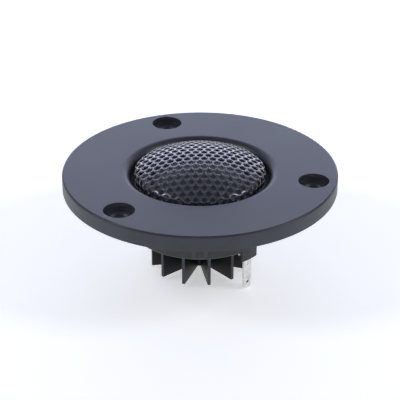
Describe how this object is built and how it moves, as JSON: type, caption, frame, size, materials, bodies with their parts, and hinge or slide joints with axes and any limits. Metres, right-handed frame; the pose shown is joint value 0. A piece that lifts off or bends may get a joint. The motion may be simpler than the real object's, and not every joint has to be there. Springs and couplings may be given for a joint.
{
  "type": "car tweeter",
  "caption": "Round flush-mount car tweeter with a domed mesh grille, screw-hole flange, finned rear heatsink and spade terminals.",
  "frame": {"origin": "centre of the flange's back face, which seats on the panel", "axes": "+Z along the acoustic axis, out of the panel towards the listener; -Y towards the first screw hole; the spade terminals lie close to the X axis"},
  "size_m": [0.072, 0.072, 0.0325],
  "materials": {
    "faceplate_plastic": "satin moulded plastic, fine texture",
    "grille_steel": "perforated steel, satin black paint",
    "foam": "closed-cell foam",
    "dome_fabric": "coated woven silk",
    "former_film": "amber polyimide film",
    "coil_copper": "enamelled copper",
    "housing_plastic": "moulded black plastic",
    "felt": "wool felt",
    "plated_steel": "zinc plated",
    "magnet_nickel": "nickel plated",
    "pad": "thermal pad",
    "black_anodised": "black anodised, sawn fin faces",
    "tinned_brass": "tin plated, stamped",
    "solder": "bright solder"
  },
  "bodies": {
    "housing": {"faceplate": "faceplate_plastic", "grille": "grille_steel", "gasket": "foam", "surround": "dome_fabric", "coil_lead_positive": "coil_copper", "coil_lead_negative": "coil_copper", "diaphragm_frame": "housing_plastic", "damping_felt": "felt", "pole_plate": "plated_steel", "magnet": "magnet_nickel", "yoke_cup": "plated_steel", "chassis": "housing_plastic", "thermal_pad": "pad", "heatsink": "black_anodised", "terminal_positive": "tinned_brass", "terminal_negative": "tinned_brass", "tail_lead_positive": "tinned_brass", "tail_lead_negative": "tinned_brass", "solder_joint_positive": "solder", "solder_joint_negative": "solder"},
    "diaphragm": {"dome": "dome_fabric", "voice_coil_former": "former_film", "voice_coil_winding": "coil_copper"}
  },
  "joints": [
    {"name": "diaphragm_excursion", "type": "slide", "parent": "housing", "child": "diaphragm", "axis": [0, 0, 1], "range_m": [-0.0004, 0.0004], "stiffness_N_per_m": 500, "deforming": ["surround", "coil_lead_positive", "coil_lead_negative"]}
  ]
}
